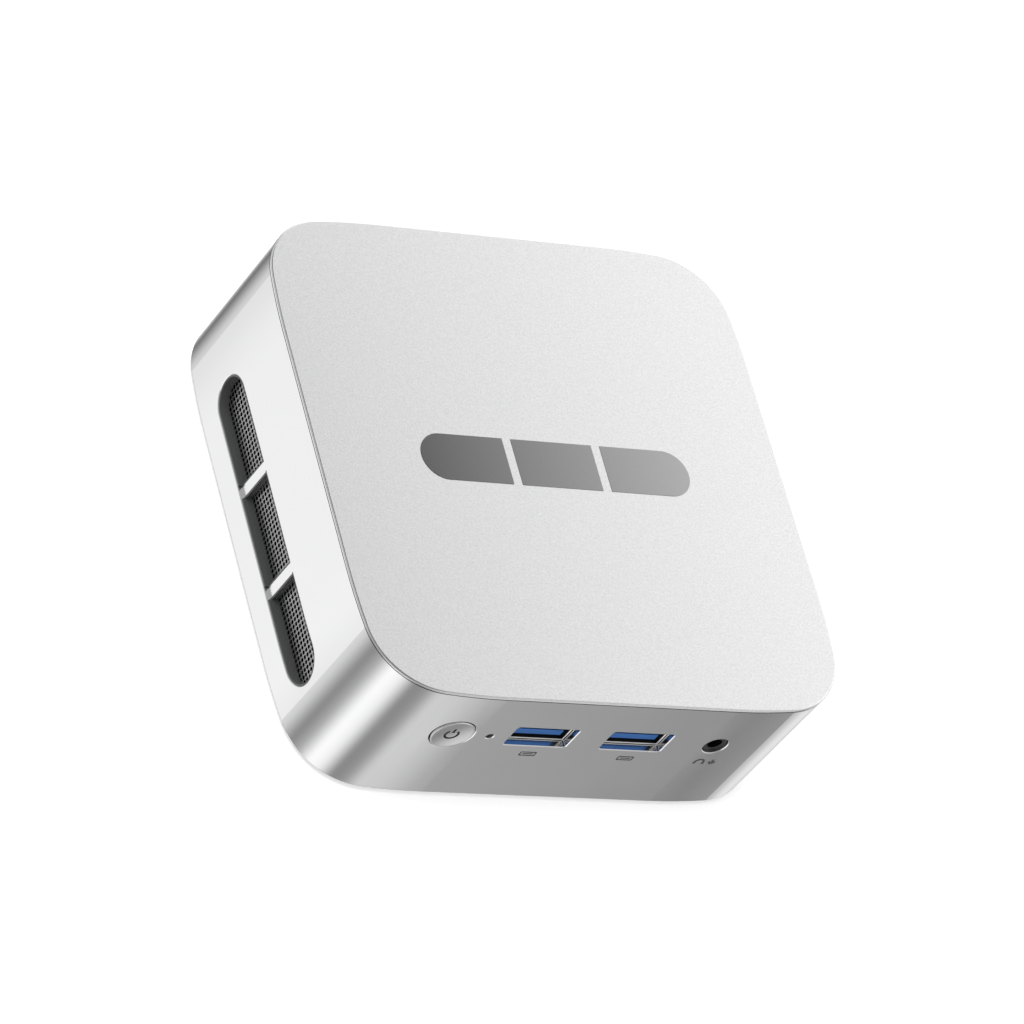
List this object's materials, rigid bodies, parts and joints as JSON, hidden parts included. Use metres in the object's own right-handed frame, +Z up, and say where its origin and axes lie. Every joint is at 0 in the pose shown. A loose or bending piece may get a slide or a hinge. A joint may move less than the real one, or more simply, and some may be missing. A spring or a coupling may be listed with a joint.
{
  "type": "mini pc",
  "caption": "Compact square desktop computer with a seamed silver case, meshed side vents, front and rear ports, a sprung power button and a fan under its heatsink.",
  "frame": {"origin": "middle of the footprint, at the level the rubber feet stand on", "axes": "+X to the right along the front face, +Y to the rear ports, +Z up through the lid"},
  "size_m": [0.128, 0.1281, 0.0429],
  "materials": {
    "case_silver": "metallic silver paint over moulded plastic, satin",
    "lid_silver": "fine bead-blasted and anodised, satin",
    "emblem_grey": "dark grey inlay, satin",
    "black_plastic": "fine moulded texture",
    "rubber": "matt",
    "black_screw": "black zinc plating",
    "steel_screw": "nickel plating",
    "brass": "turned",
    "filter_cloth": "fine nylon net",
    "liner_grey": "fine moulded texture",
    "mesh_grey": "dark grey powder coat",
    "switch_plunger": "moulded",
    "clear_plastic": "clear moulded plastic",
    "led_body": "moulded",
    "port_steel": "stamped stainless sheet",
    "blue_plastic": "moulded",
    "pin_metal": "nickel plating",
    "board_green": "solder mask over glass-filled laminate",
    "chip_black": "moulded epoxy",
    "thermal_grey": "filled silicone",
    "copper": "bare copper",
    "sink_aluminium": "extruded",
    "fan_black": "moulded",
    "shaft_steel": "ground",
    "magnet": "bonded ferrite",
    "lead_black": "flexible sleeve",
    "antenna_film": "printed polyimide film"
  },
  "bodies": {
    "case": {"antenna_leads": "lead_black", "antennas": "antenna_film", "audio_jack": "black_plastic", "board_screws": "steel_screw", "bottom_cover": "black_plastic", "bottom_screws": "black_screw", "button_retainer": "black_plastic", "card_screws": "steel_screw", "card_sockets": "black_plastic", "card_standoffs": "brass", "case_shell": "case_silver", "coin_cell": "pin_metal", "cold_plate": "copper", "drive_module": "board_green", "dust_filter": "filter_cloth", "fan_bearing": "brass", "fan_connector": "black_plastic", "fan_housing": "fan_black", "fan_lead": "lead_black", "fan_screws": "steel_screw", "fan_stator": "copper", "front_usb_shell_left": "port_steel", "front_usb_shell_right": "port_steel", "front_usb_tongue_left": "blue_plastic", "front_usb_tongue_right": "blue_plastic", "heat_pipes": "copper", "heatsink": "sink_aluminium", "heatsink_screws": "steel_screw", "lid_emblem": "emblem_grey", "light_pipe": "clear_plastic", "mainboard": "board_green", "memory_module": "board_green", "memory_socket": "black_plastic", "mount_inserts": "brass", "network_insert": "black_plastic", "network_shell": "port_steel", "power_inductors": "chip_black", "power_inlet": "black_plastic", "power_inlet_pin": "pin_metal", "power_switch": "black_plastic", "processor": "chip_black", "rear_usb_shells": "port_steel", "rear_usb_tongues": "blue_plastic", "retainer_screws": "steel_screw", "rubber_feet": "rubber", "status_led": "led_body", "thermal_pad": "thermal_grey", "top_lid": "lid_silver", "vent_liner_left": "liner_grey", "vent_liner_right": "liner_grey", "vent_mesh_left": "mesh_grey", "vent_mesh_right": "mesh_grey", "video_port_shells": "port_steel", "video_port_tongues": "black_plastic", "wireless_card": "board_green"},
    "button": {"power_button": "case_silver", "switch_plunger": "switch_plunger"},
    "fan": {"fan_rotor": "fan_black", "fan_shaft": "shaft_steel", "fan_magnet": "magnet"}
  },
  "joints": [
    {"name": "power_button_press", "type": "slide", "parent": "case", "child": "button", "axis": [0, 1, 0], "range_m": [0, 0.0006], "stiffness_N_per_m": 2500, "springref_m": -0.0003},
    {"name": "fan_spin", "type": "hinge", "parent": "case", "child": "fan", "pos_m": [0, 0, 0.0091], "axis": [0, 0, 1], "continuous": true}
  ]
}
